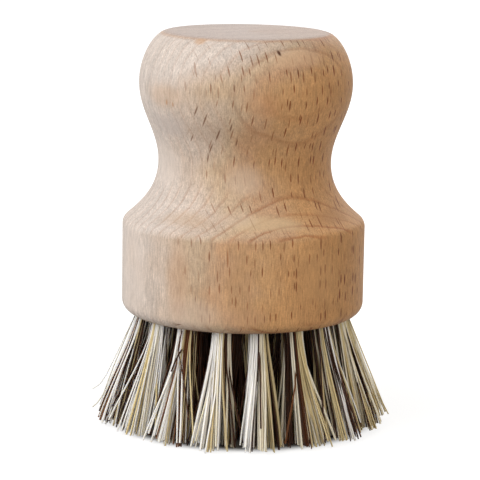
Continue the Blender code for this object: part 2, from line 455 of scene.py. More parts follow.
@dataclass
class BeechBlock:
    """The turned block: drum, cove, knob and 29 blind bores, in one piece of beech."""

    layout: BrushLayout
    outline: TurnedOutline
    steps: int = 192
    bore_sides: int = 24
    chip_sides: int = 16
    chip_rows: int = 10
    overrun: float = 1.0 * MM
    weld: float = 0.001 * MM
    sharp_from: float = math.radians(40.0)
    chips: tuple[Chip, ...] = (
        Chip(math.radians(-121.5), 1.3 * MM, 1.0 * MM, 0.30 * MM, 0.30 * MM),
        Chip(math.radians(-89.4), 1.6 * MM, 0.35 * MM, 0.25 * MM, 0.20 * MM),
        Chip(math.radians(-87.0), 1.3 * MM, 0.25 * MM, 0.25 * MM, 0.18 * MM),
        Chip(math.radians(37.0), 1.2 * MM, 0.7 * MM, 0.30 * MM, 0.25 * MM),
        Chip(math.radians(141.0), 0.9 * MM, 0.5 * MM, 0.35 * MM, 0.25 * MM),
    )

    def turned_blank(self) -> Mesh:
        """Spin the outline once round the axis.

        Returns:
            The closed blank, with its place in its mesh.
        """
        shape = bmesh.new()
        corners = [
            shape.verts.new((point.x, 0.0, point.y + self.layout.underside))
            for point in self.outline.points()
        ]
        edges = [shape.edges.new(pair) for pair in zip(corners, corners[1:])]
        bmesh.ops.spin(
            shape,
            geom=[*corners, *edges],
            cent=(0.0, 0.0, 0.0),
            axis=(0.0, 0.0, 1.0),
            angle=math.tau,
            steps=self.steps,
            use_merge=True,
        )
        bmesh.ops.remove_doubles(shape, verts=shape.verts, dist=self.weld)
        bmesh.ops.recalc_face_normals(shape, faces=shape.faces)
        return mesh_of(shape, "turned_blank")

    def drills(self) -> Mesh:
        """Make one cutter with all the bores and the chips in the lower edge.

        Returns:
            The cutter's mesh, in separate closed bodies.
        """
        shape = bmesh.new()
        length = self.layout.bore_depth + self.overrun
        up_bore = Matrix.Translation((0.0, 0.0, length / 2 - self.overrun))
        for seat in self.layout.seats():
            bmesh.ops.create_cone(
                shape,
                cap_ends=True,
                segments=self.bore_sides,
                radius1=self.layout.bore_radius,
                radius2=self.layout.bore_radius,
                depth=length,
                matrix=self.layout.bore_place(seat) @ up_bore,
            )
        for chip in self.chips:
            self.add_chip(shape, chip)
        return mesh_of(shape, "drills")

    def add_chip(self, shape: Shape, chip: Chip) -> None:
        """Add a small ball, flattened to the chip's size, that bites into the lower edge.

        Args:
            shape: The cutter so far.
            chip: Where the chip is and how large.
        """
        below_crown = self.outline.crown_radius
        edge = [point for point in self.outline.points() if point.x > below_crown]
        radius = min(edge, key=lambda point: abs(point.y - chip.height)).x
        turn = Matrix.Rotation(chip.angle, 4, "Z")
        place = Matrix.Translation((radius, 0.0, self.layout.underside + chip.height))
        size = Matrix.Diagonal((chip.depth, chip.half_width, chip.half_height, 1.0))
        bmesh.ops.create_uvsphere(
            shape,
            u_segments=self.chip_sides,
            v_segments=self.chip_rows,
            radius=1.0,
            matrix=turn @ place @ size,
        )

    def build(self, finish: Material) -> Piece:
        """Turn the blank, bore it and dress it.

        Args:
            finish: The beech material.

        Returns:
            The block, in place of the frame's plainer one.
        """
        blank = new_piece("turned_blank", self.turned_blank(), finish)
        drills = new_piece("drills", self.drills(), finish)
        boring = blank.modifiers.new("Boring", "BOOLEAN")
        boring.operation = "DIFFERENCE"
        boring.solver = "EXACT"
        boring.object = drills
        graph = bpy.context.evaluated_depsgraph_get()
        data = bpy.data.meshes.new_from_object(blank.evaluated_get(graph))
        for scrap in (blank, drills):
            bpy.data.objects.remove(scrap, do_unlink=True)
        data.shade_smooth()
        data.set_sharp_from_angle(angle=self.sharp_from)
        block = new_piece("turned_beech_block", data, finish)
        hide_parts("beech_block")
        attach(block, "root")
        return block


class FibreKind(Enum):
    """Kinds of fibre in the union mix, each at its place on the colour ramp."""

    WHITE = 0.05
    CREAM = 0.25
    KHAKI = 0.45
    RUST = 0.65
    DARK = 0.85

    @classmethod
    def read(cls, initials: str) -> tuple[FibreKind, ...]:
        """Turn initials such as WWCKD to kinds of fibre."""
        by_initial = {kind.name[0]: kind for kind in cls}
        return tuple(by_initial[initial] for initial in initials)


@dataclass(frozen=True)
class FibreBody:
    """Thinnest and thickest fibre of one kind, as radii, and how its clumps hold.

    The spring is how far it spreads, and the strays are the share of other kinds
    that get into its clumps.
    """

    thin: float
    thick: float
    spring: float
    strays: float


@dataclass(frozen=True)
class Clump:
    """Fibres of one kind that cling together from the bore to their tips."""

    middle: float
    aside: float
    outward: float
    bow: Vector
    short: float


@dataclass(frozen=True)
class LooseFibre:
    """A fibre that left its clump in one tuft of the outer ring, bent or broken.

    Its points are azimuths in degrees from the front towards the right, and radii
    and heights in millimetres.
    """

    tuft: int
    kind: FibreKind
    radius: float
    points: tuple[tuple[float, float, float], ...]

    def line(self, count: int) -> list[Vector]:
        """Space points evenly along the fibre.

        Args:
            count: How many points.

        Returns:
            The points, from its first end to its last.
        """
        corners = np.array(
            [
                (out * math.sin(math.radians(az)), -out * math.cos(math.radians(az)), height)
                for az, out, height in self.points
            ]
        )
        steps = np.linalg.norm(np.diff(corners, axis=0), axis=1)
        along = np.concatenate([[0.0], np.cumsum(steps)])
        places = np.linspace(0.0, along[-1], count)
        spots = np.stack([np.interp(places, along, corners[:, axis]) for axis in range(3)], axis=1)
        return [Vector(spot) * MM for spot in spots]


@dataclass
class UnionTuft:
    """One tuft: fibres folded over a staple's crown, fanned out and trimmed.

    Places in a tuft are shares from -1 to 1, along the crown and across it. The
    crown lies along the ring, so kinds of fibre lie side by side as the eye sees them.
    The fan is turned by its twist, its looseness is its share of strays, and the loose
    fibres stand apart from it.
    """

    layout: BrushLayout
    seat: Seat
    mix: tuple[FibreKind, ...]
    chance: random.Random
    twist: float
    looseness: float
    loose: tuple[LooseFibre, ...]
    packing: float = 0.25 * MM
    fold_gap: float = 0.16 * MM
    fold_start_share: float = 0.6
    fold_turns: tuple[float, ...] = (math.pi / 6, math.pi / 2, math.pi * 5 / 6)
    mouth_radius: float = 1.92 * MM
    mouth_squeeze: float = 0.92
    rim_margin: float = 0.2 * MM
    straight_share: float = 0.30
    tip_share: float = 0.33
    square_share: float = 0.65
    least_outward: float = 0.06
    cling_share: float = 0.45
    clump_edge: float = 0.012
    clump_aside_share: float = 0.115
    clump_bow: float = 0.22 * MM
    clump_short: float = 0.35 * MM
    fibre_sides: int = 3
    fibre_aside_share: float = 0.033
    fibre_outward_share: float = 0.066
    fibre_bow: float = 0.06 * MM
    ragged: float = 0.30 * MM
    longest_cut: float = 2.4 * MM
    trim_height: float = 0.07 * MM
    stray_share: float = 0.085
    stray_reach: float = 1.1
    stray_outward: tuple[float, float] = (0.1, 0.4)
    stray_lift: float = 1.7 * MM
    kink_share: float = 0.02
    kink_outward: float = 0.5
    kink_place: float = 0.55
    kink_reach: float = 1.6 * MM
    odd_kinds: str = "DDDRKW"
    widest: float = 30.9 * MM
    fan_places: tuple[float, ...] = (1.0, 0.85, 0.68, 0.51, 0.34, 0.17, 0.0)
    bodies: dict[FibreKind, FibreBody] = field(
        default_factory=lambda: {
            FibreKind.WHITE: FibreBody(0.18 * MM, 0.28 * MM, 0.97, 0.05),
            FibreKind.CREAM: FibreBody(0.17 * MM, 0.27 * MM, 0.96, 0.09),
            FibreKind.KHAKI: FibreBody(0.15 * MM, 0.25 * MM, 0.97, 0.15),
            FibreKind.RUST: FibreBody(0.12 * MM, 0.20 * MM, 0.96, 0.10),
            FibreKind.DARK: FibreBody(0.12 * MM, 0.20 * MM, 1.00, 0.07),
        }
    )

    @property
    def lowest(self) -> float:
        """Distance of the lowest fibres of the fold from the staple's crown line."""
        return self.layout.wire_radius + self.fold_gap

    def fold_places(self) -> list[tuple[float, float]]:
        """Pack the fibres side by side over the staple's crown.

        Returns:
            For each fibre, its place along the crown and its distance above it.
        """
        row_step = self.packing * math.sqrt(3) / 2
        rows = int((self.mouth_radius - self.lowest) / row_step) + 1
        places = []
        for row in range(rows):
            out = self.lowest + row * row_step
            half = math.sqrt(max(self.mouth_radius**2 - out**2, 0.0))
            count = int(2 * half / self.packing)
            start = -self.packing * (count - 1) / 2
            places += [(start + self.packing * step, out) for step in range(count)]
        return places

    def own_bow(self, reach: float) -> Vector:
        """Draw a random bow, level and about this long."""
        return Vector((self.chance.gauss(0, 1), self.chance.gauss(0, 1), 0.0)) * reach

    def clumps(self) -> list[Clump]:
        """Draw how the clumps of one side of the tuft stand.

        Returns:
            A clump for each kind of the mix, in order.
        """
        chance = self.chance
        step = 2 / len(self.mix)
        return [
            Clump(
                middle=(order + 0.5) * step - 1,
                aside=chance.gauss(0.0, self.clump_aside_share),
                outward=chance.gauss(0.0, self.clump_aside_share),
                bow=self.own_bow(self.clump_bow),
                short=abs(chance.gauss(0.0, self.clump_short)),
            )
            for order in range(len(self.mix))
        ]

    def tip_point(self, outward: float, aside: float) -> Vector:
        """Spread a place in the tuft out to its part of the trimmed disc.

        Args:
            outward: Place along the brush's radius, from -1 to 1.
            aside: Place round the brush, from -1 to 1.

        Returns:
            The tip's place below the block's underside, with +X through the bore.
        """
        ring = self.seat.ring
        middle = (ring.inner_edge + ring.outer_edge) / 2
        deep = (ring.outer_edge - ring.inner_edge) / 2 - self.rim_margin
        out = min(middle + outward * deep, self.widest)
        angle = aside * math.pi / ring.count
        return Vector((out * math.cos(angle), out * math.sin(angle), -self.layout.underside))

    def fibre_paths(self) -> tuple[np.ndarray, np.ndarray, np.ndarray]:
        """Work out every fibre's line from tip to tip, its radius and its kind.

        Returns:
            Points with the shape (fibres, rings, 3), radii and ramp places.
        """
        chance = self.chance
        sides = {side: self.clumps() for side in (-1, 1)}
        paths, radii, kinds = [], [], []
        for along_crown, above in self.fold_places():
            aside = along_crown / self.mouth_radius
            edge = (aside + 1) / 2 + chance.gauss(0.0, self.clump_edge)
            column = min(max(int(edge * len(self.mix)), 0), len(self.mix) - 1)
            kind = self.mix[column]
            if chance.random() < self.bodies[kind].strays:
                kind = chance.choice(FibreKind.read(self.odd_kinds))
            body = self.bodies[kind]
            first, second = (
                self.fan(along_crown, side * above, sides[side][column], body.spring)
                for side in (-1, 1)
            )
            paths.append([*first, *self.fold(along_crown, above), *reversed(second)])
            radii.append(chance.uniform(body.thin, body.thick))
            kinds.append(kind.value)
        for fibre in self.loose:
            paths.append(fibre.line(len(paths[0])))
            radii.append(fibre.radius)
            kinds.append(fibre.kind.value)
        return np.array(paths), np.array(radii), np.array(kinds)

    def spread(
        self, along_crown: float, across: float, clump: Clump, spring: float
    ) -> tuple[float, float, float]:
        """Draw where one fibre's tip goes.

        Args:
            along_crown: The fibre's place along the staple's crown.
            across: Its place across the crown, positive on the brush's outer side.
            clump: The clump that it clings to.
            spring: How far its kind spreads, as a share of the tuft's room.

        Returns:
            The tip's place outward and aside, and its lift above the trim.
        """
        chance = self.chance
        chord = math.sqrt(max(self.mouth_radius**2 - across**2, self.packing**2))
        round_aside = along_crown / self.mouth_radius
        aside = round_aside + (along_crown / chord - round_aside) * self.square_share
        aside += (clump.middle - aside) * self.cling_share + clump.aside
        aside = aside * spring + chance.gauss(0.0, self.fibre_aside_share)
        depth = (abs(across) - self.lowest) / (self.mouth_radius - self.lowest)
        outward = self.least_outward + (1 - self.least_outward) * depth
        outward = math.copysign(outward, across) + clump.outward
        outward += chance.gauss(0.0, self.fibre_outward_share)
        swept = aside * math.cos(self.twist) - outward * math.sin(self.twist)
        outward = aside * math.sin(self.twist) + outward * math.cos(self.twist)
        aside = swept
        outward = min(max(outward, -1.0), 1.0)
        lift = 0.0
        if chance.random() < self.stray_share * self.looseness:
            aside += chance.uniform(-1.0, 1.0) * self.stray_reach
            outward = math.copysign(abs(outward) + chance.uniform(*self.stray_outward), across)
            lift = chance.random() * self.stray_lift
        return outward, aside, lift

    def fan(self, along_crown: float, across: float, clump: Clump, spring: float) -> list[Vector]:
        """Draw the line of one fibre's free half, from its tip up to the bore's mouth.

        Args:
            along_crown: The fibre's place along the staple's crown.
            across: Its place across the crown, positive on the brush's outer side.
            clump: The clump that it clings to.
            spring: How far its kind spreads, as a share of the tuft's room.

        Returns:
            Points of its line.
        """
        chance = self.chance
        outward, aside, lift = self.spread(along_crown, across, clump, spring)
        turn = self.layout.turn(self.seat)
        bore = self.layout.bore_place(self.seat)
        tip = turn @ self.tip_point(outward, aside)
        cut = clump.short + chance.expovariate(1 / self.ragged)
        tip.z = self.trim_height + min(cut, self.longest_cut) + lift
        mouth = bore @ Vector((across * self.mouth_squeeze, along_crown, 0.0))
        way = bore.to_3x3() @ Vector((0.0, 0.0, -1.0))
        pull_mouth = mouth + way * (mouth - tip).length * self.straight_share
        pull_tip = tip + (mouth - tip) * self.tip_share
        own_bow = self.own_bow(self.fibre_bow)
        kink = Vector()
        if chance.random() < self.kink_share:
            way_out = Vector((self.kink_outward, chance.choice((-1, 1)), 0.0))
            kink = turn.to_3x3() @ way_out * self.kink_reach
        points = []
        for place in self.fan_places:
            left = 1 - place
            point = mouth * left**3 + pull_mouth * 3 * left**2 * place
            point += pull_tip * 3 * left * place**2 + tip * place**3
            point += (clump.bow + own_bow) * math.sin(math.pi * place)
            point += kink * max(self.kink_place - abs(place - self.kink_place), 0.0)
            points.append(point)
        return points

    def fold(self, along_crown: float, above: float) -> list[Vector]:
        """Lead one fibre up inside the bore, over the staple's crown and down again.

        Args:
            along_crown: The fibre's place along the staple's crown.
            above: Its distance above the crown.

        Returns:
            Points of its line.
        """
        bore = self.layout.bore_place(self.seat)
        crown = self.layout.staple_crown
        start = crown * self.fold_start_share
        over = [
            (-above * math.cos(turn), crown + above * math.sin(turn)) for turn in self.fold_turns
        ]
        places = [(-above, start), *over, (above, start)]
        return [bore @ Vector((across, along_crown, up)) for across, up in places]

    def fibre_blank(self, rings: int) -> Mesh:
        """Make one straight fibre, cut into rings along Z from 0 to 1.

        Args:
            rings: How many rings of corners it has.

        Returns:
            The blank that every fibre of the tuft is bent from.
        """
        shape = bmesh.new()
        bmesh.ops.create_cone(
            shape,
            cap_ends=True,
            segments=self.fibre_sides,
            radius1=1.0,
            radius2=1.0,
            depth=1.0,
            matrix=Matrix.Translation((0.0, 0.0, 0.5)),
        )
        for cut in range(1, rings - 1):
            bmesh.ops.bisect_plane(
                shape,
                geom=[*shape.verts, *shape.edges, *shape.faces],
                plane_co=(0.0, 0.0, cut / (rings - 1)),
                plane_no=(0.0, 0.0, 1.0),
            )
        for edge in shape.edges:
            ends = [face for face in edge.link_faces if len(face.verts) == self.fibre_sides]
            edge.smooth = not ends
        return mesh_of(shape, "fibre_blank")

    def bent(self, corners: np.ndarray, paths: np.ndarray, radii: np.ndarray) -> np.ndarray:
        """Bend a straight blank along every fibre's line, each turned by chance.

        Args:
            corners: The blank's corners, with the shape (corners, 3).
            paths: The lines, with the shape (fibres, rings, 3).
            radii: The fibres' radii.

        Returns:
            The bent corners, with the shape (fibres, corners, 3).
        """
        fibres, rings, _axes = paths.shape
        ring_of = np.rint(corners[:, 2] * (rings - 1)).astype(int)
        radial = np.array(self.layout.turn(self.seat).to_3x3() @ Vector((1, 0, 0)))
        tangents = np.gradient(paths, axis=1)
        tangents /= np.linalg.norm(tangents, axis=2, keepdims=True)
        first = radial - tangents * (tangents @ radial)[..., None]
        first /= np.linalg.norm(first, axis=2, keepdims=True)
        second = np.cross(tangents, first)
        phase = np.array([self.chance.uniform(0, math.tau) for _ in range(fibres)])
        turned = np.arctan2(corners[:, 1], corners[:, 0])[None, :] + phase[:, None]
        spots = paths[:, ring_of]
        spots = spots + first[:, ring_of] * (np.cos(turned) * radii[:, None])[..., None]
        return spots + second[:, ring_of] * (np.sin(turned) * radii[:, None])[..., None]

    def build(self, finish: Material) -> Piece:
        """Bend a blank along every fibre's line and join them into the tuft.

        Args:
            finish: The union fibre material.

        Returns:
            The tuft, in place of the frame's plainer one.
        """
        paths, radii, kinds = self.fibre_paths()
        fibres, rings, _axes = paths.shape
        blank = self.fibre_blank(rings)
        corners = np.array([vertex.co for vertex in blank.vertices])
        spots = self.bent(corners, paths, radii)
        tones = np.array([self.chance.random() for _ in range(fibres)])

        shape = bmesh.new()
        for _fibre in range(fibres):
            shape.from_mesh(blank)
        bpy.data.meshes.remove(blank)
        name = "union_tuft_" + self.seat.label
        data = mesh_of(shape, name)
        data.vertices.foreach_set("co", spots.astype(np.float32).ravel())
        data.polygons.foreach_set("use_smooth", [True] * len(data.polygons))
        for attribute, values in (("fibre_kind", kinds), ("fibre_tone", tones)):
            layer = data.attributes.new(attribute, "FLOAT", "POINT")
            layer.data.foreach_set("value", np.repeat(values, len(corners)).astype(np.float32))
        shape = bmesh.new()
        shape.from_mesh(data)
        bmesh.ops.recalc_face_normals(shape, faces=shape.faces)
        shape.to_mesh(data)
        shape.free()
        tuft = new_piece(name, data, finish)
        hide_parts("tuft_" + self.seat.label)
        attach(tuft, "root")
        return tuft


@dataclass
class UnionFilling:
    """All the tufts of the brush, with the mix of fibres and loose fibres of each.

    A mix names the clumps of a tuft by their initials, anticlockwise seen from above.
    The mixes of the tufts that the photograph shows go by their number in the outer ring.
    """

    layout: BrushLayout
    seed: int = 23
    # Dark clumps at a tuft's edges are partly the mix's own dark fibre and partly painted shade in
    # the gaps between tufts.
    outer_mixes: dict[int, str] = field(
        default_factory=lambda: {
            11: "KWDWWDWDKWDC",
            12: "DWWDWDWWDWDW",
            13: "WDWDWRRDWKDW",
            14: "WDWWDWKWWCWD",
            15: "DWWWWWWKRRKD",
            16: "DWWWWKCWKDCD",
            0: "DWWWWDCCKDKC",
            1: "DDCDRKKCKCCD",
            2: "DCKDWDWDKCKD",
            3: "DCKCDKCDCKKD",
            4: "CKKDKCKCKKDK",
            5: "CKDKKDCKKDKC",
        }
    )
    loose_fibres: tuple[LooseFibre, ...] = (
        LooseFibre(
            15, FibreKind.DARK, 0.15 * MM,
            (
                (-32.5, 22.3, 22.5), (-32.4, 23.5, 19.7), (-31.4, 24.1, 18.1), (-29.4, 24.6, 16.5),
                (-27.2, 25.4, 14.3), (-24.1, 26.7, 10.5), (-21.5, 28.1, 6.0),
            ),
        ),
        LooseFibre(
            15, FibreKind.DARK, 0.21 * MM,
            ((-30.9, 23.2, 18.9), (-31.5, 24.2, 18.0), (-32.7, 24.8, 16.3), (-33.5, 25.4, 14.6)),
        ),
        LooseFibre(
            0, FibreKind.DARK, 0.20 * MM,
            (
                (8.5, 23.0, 19.2), (8.5, 24.0, 18.4), (8.5, 25.2, 15.0), (8.3, 26.6, 10.7),
                (8.2, 28.3, 5.0),
            ),
        ),
        LooseFibre(
            4, FibreKind.KHAKI, 0.15 * MM,
            (
                (92.0, 22.0, 22.0), (91.8, 26.2, 12.0), (91.5, 28.8, 5.8), (91.4, 29.9, 3.2),
                (91.3, 31.1, 0.9),
            ),
        ),
        LooseFibre(
            12, FibreKind.WHITE, 0.13 * MM,
            (
                (-92.0, 22.0, 22.0), (-91.8, 25.8, 13.5), (-91.5, 28.3, 8.2), (-91.5, 29.6, 6.2),
                (-91.3, 31.1, 5.3),
            ),
        ),
        LooseFibre(
            12, FibreKind.CREAM, 0.13 * MM,
            (
                (-92.0, 22.0, 22.0), (-91.8, 26.8, 10.0), (-91.7, 28.9, 4.0), (-91.6, 30.0, 2.3),
                (-91.5, 31.1, 1.3),
            ),
        ),
    )
    outer_kinds: str = "WWWCCKKDR"
    # Inner tufts are mostly dark: partly the mix's own palm fibre, partly painted shade that
    # darkens the gaps between the outer tufts.
    inner_shade_kinds: str = "DDDDRK"
    clumps_in_tuft: int = 11
    twist_spread: float = math.radians(13.0)
    loosest: tuple[float, float] = (0.3, 1.9)

    def tuft(self, seat: Seat, chance: random.Random) -> UnionTuft:
        """Draw what goes into one seat.

        Args:
            seat: The tuft's seat.
            chance: The filling's own random draws.

        Returns:
            The tuft, not built yet.
        """
        outer = seat.ring.name == "outer"
        if outer and seat.order in self.outer_mixes:
            mix = self.outer_mixes[seat.order]
        else:
            kinds = self.outer_kinds if outer else self.inner_shade_kinds
            mix = "".join(chance.choices(kinds, k=self.clumps_in_tuft))
        return UnionTuft(
            layout=self.layout,
            seat=seat,
            mix=FibreKind.read(mix),
            chance=random.Random(chance.random()),
            twist=chance.gauss(0.0, self.twist_spread),
            looseness=chance.uniform(*self.loosest),
            loose=tuple(f for f in self.loose_fibres if outer and f.tuft == seat.order),
        )

    def build(self, finish: Material) -> list[Piece]:
        """Build every tuft, ring by ring.

        Args:
            finish: The union fibre material.

        Returns:
            The tufts.
        """
        chance = random.Random(self.seed)
        return [self.tuft(seat, chance).build(finish) for seat in self.layout.seats()]


@dataclass(frozen=True)
class WoodFace:
    """What the beech's nodes know of every point on the block.

    The point is in metres, and so is its height. The board gives millimetres across
    the rays, out from the pith and along the grain. The slope is how far the surface
    faces up or down and outward is how squarely it faces out from the pith or towards
    it, both from 0 to 1. To_right goes from -1 at the left of the axis to 1 at its right.
    """

    tree: Tree
    point: Socket
    height: Socket
    board: Node
    slope: Node
    outward: Node
    to_right: Socket

    @classmethod
    def read(cls, tree: Tree, grain_direction: float, pith_distance: float) -> WoodFace:
        """Work the measures out from the object coordinates and the normal.

        Args:
            tree: The material's node tree.
            grain_direction: Azimuth that the tree's outside faces, from the front.
            pith_distance: Millimetres from the tree's pith to the block's axis.

        Returns:
            The measures.
        """
        coords = add_node(tree, "TexCoord")
        point, normal = coords.outputs["Object"], coords.outputs["Normal"]
        board = add_node(
            tree, "Mapping", {"vector_type": "POINT"},
            {
                "Vector": point,
                "Location": (0.0, pith_distance, 0.0),
                "Rotation": (0.0, 0.0, math.pi - grain_direction),
                "Scale": (1 / MM, 1 / MM, 1 / MM),
            },
        )
        outside = (math.sin(grain_direction), -math.cos(grain_direction), 0.0)
        facing = add_node(
            tree, "VectorMath", {"operation": "DOT_PRODUCT"}, {0: normal, 1: outside}
        )
        upward = add_node(tree, "SeparateXYZ", None, {0: normal}).outputs[2]
        level = add_node(tree, "VectorMath", MULTIPLY, {0: point, 1: (1.0, 1.0, 0.0)})
        away = add_node(tree, "VectorMath", {"operation": "NORMALIZE"}, {0: level})
        return cls(
            tree=tree,
            point=point,
            height=add_node(tree, "SeparateXYZ", None, {0: point}).outputs[2],
            board=board,
            slope=add_node(tree, "Math", ABSOLUTE, {0: upward}),
            outward=add_node(tree, "Math", ABSOLUTE, {0: facing.outputs["Value"]}),
            to_right=add_node(tree, "SeparateXYZ", None, {0: away}).outputs[0],
        )


@dataclass(frozen=True)
class Mottle:
    """A noise, with its spots to a millimetre across the grain or fibre and along it."""

    across: float
    along: float
    detail: float
    roughness: float = 0.5

    def draw(self, tree: Tree, place: Node | Socket, unit: float = 1.0) -> Node:
        """Draw the noise.

        Args:
            tree: The material's node tree.
            place: Where each point lies, with its Z along the grain or fibre.
            unit: How many millimetres the place's unit is.

        Returns:
            The noise, around 0.5.
        """
        spots = add_node(
            tree, "Mapping", {"vector_type": "POINT"},
            {"Vector": place, "Scale": Vector((self.across, self.across, self.along)) * unit},
        )
        return add_node(
            tree, "TexNoise", None,
            {"Vector": spots, "Scale": 1.0, "Detail": self.detail, "Roughness": self.roughness},
        )


@dataclass(frozen=True)
class WoodMark:
    """A mark in the wood's face: a soft patch of tone, a gum streak, a dark fleck, or painted
    shade or shadow.

    Its azimuth is in degrees from the front towards the right, its tilt in degrees
    clockwise from upright, and its other sizes are in millimetres.
    """

    azimuth: float
    radius: float
    height: float
    half_width: float
    half_length: float
    tilt: float
    colour: str
    strength: float
    depth: float = 2.0
    core: float = 0.35
    rim: float = 1.1

    def lay(self, face: WoodFace, colour: Socket) -> Socket:
        """Lay the mark over the colour, as a soft spot in its own frame.

        Args:
            face: The measures of the surface.
            colour: The colour so far.

        Returns:
            The colour with the mark.
        """
        azimuth = math.radians(self.azimuth)
        middle = (self.radius * math.sin(azimuth), -self.radius * math.cos(azimuth), self.height)
        spot = add_node(
            face.tree, "Mapping", {"vector_type": "TEXTURE"},
            {
                "Vector": face.point,
                "Location": Vector(middle) * MM,
                "Rotation": (0.0, math.radians(self.tilt), azimuth),
                "Scale": Vector((self.half_width, self.depth, self.half_length)) * MM,
            },
        )
        distance = add_node(face.tree, "VectorMath", LENGTH, {0: spot}).outputs["Value"]
        body = Fade(self.core, self.rim, self.strength, 0.0)
        share = add_node(face.tree, "MapRange", *body.of(distance))
        sockets = {0: share, 6: colour, 7: linear(self.colour)}
        return add_node(face.tree, "Mix", LAY_OVER, sockets).outputs[2]


@dataclass(frozen=True)
class RayField:
    """A scatter of medullary rays: sheets of cells that show as short upright dashes.

    Its pitches and half sizes are in millimetres. A ray varies in size, and rays are
    narrower and fade where the surface lies along them, and broader and darker in the
    tan wood on the right.
    """

    pitch_across: float
    pitch_along: float
    half_width: float
    half_length: float
    kept_from: float
    strength: float
    kept_to: float = 0.85
    own_size: Ramp = Ramp(0.0, 1.0, 0.65, 1.25)
    narrowed: Ramp = Ramp(0.15, 0.8, 0.65, 1.0)
    broadened: Ramp = Ramp(0.25, 0.9, 1.0, 1.75)
    spindle_edge: Fade = Fade(0.45, 1.15, 1.0, 0.0)
    toned: Ramp = Ramp(-0.3, 0.45, 0.70, 1.0)
    faded: Fade = Fade(0.20, 0.68)

    def mask(self, face: WoodFace) -> Node:
        """Scatter spindle-shaped rays, one or none in each cell of a Voronoi pattern.

        Args:
            face: The measures of the surface.

        Returns:
            How strongly a ray darkens each point.
        """
        tree = face.tree
        across, _out, along = add_node(tree, "SeparateXYZ", None, {0: face.board}).outputs
        place = add_node(tree, "CombineXYZ", None, {0: across, 1: along})
        pitches = (self.pitch_across, self.pitch_along, 1.0)
        in_cells = add_node(tree, "VectorMath", DIVIDE, {0: place, 1: pitches})
        cells = add_node(
            tree, "TexVoronoi", {"voronoi_dimensions": "2D", "feature": "F1"},
            {"Vector": in_cells, "Scale": 1.0, "Randomness": 1.0},
        )
        draw = add_node(tree, "SeparateColor", None, {0: cells.outputs["Color"]})
        offset = add_node(
            tree, "VectorMath", SUBTRACT, {0: in_cells, 1: cells.outputs["Position"]}
        )
        size = add_node(tree, "MapRange", *self.own_size.of(draw))
        width = multiplied(
            tree, size, (self.narrowed, face.outward), (self.broadened, face.to_right)
        )
        spread = add_node(tree, "CombineXYZ", None, {0: width, 1: size, 2: 1.0})
        shares = (self.pitch_across / self.half_width, self.pitch_along / self.half_length, 1.0)
        scaled = add_node(tree, "VectorMath", MULTIPLY, {0: offset, 1: shares})
        fitted = add_node(tree, "VectorMath", DIVIDE, {0: scaled, 1: spread})
        aside, lengthwise, _depth = add_node(tree, "SeparateXYZ", None, {0: fitted}).outputs
        aside = add_node(tree, "Math", ABSOLUTE, {0: aside})
        spindle = add_node(
            tree, "Math", MULTIPLY_ADD, {0: lengthwise, 1: lengthwise, 2: aside}
        )
        kept = Fade(self.kept_from, self.kept_to, 0.0, self.strength)
        return multiplied(
            tree,
            add_node(tree, "MapRange", *self.spindle_edge.of(spindle)),
            (kept, draw.outputs[1]),
            (self.toned, face.to_right),
            (self.faded, face.outward),
        )


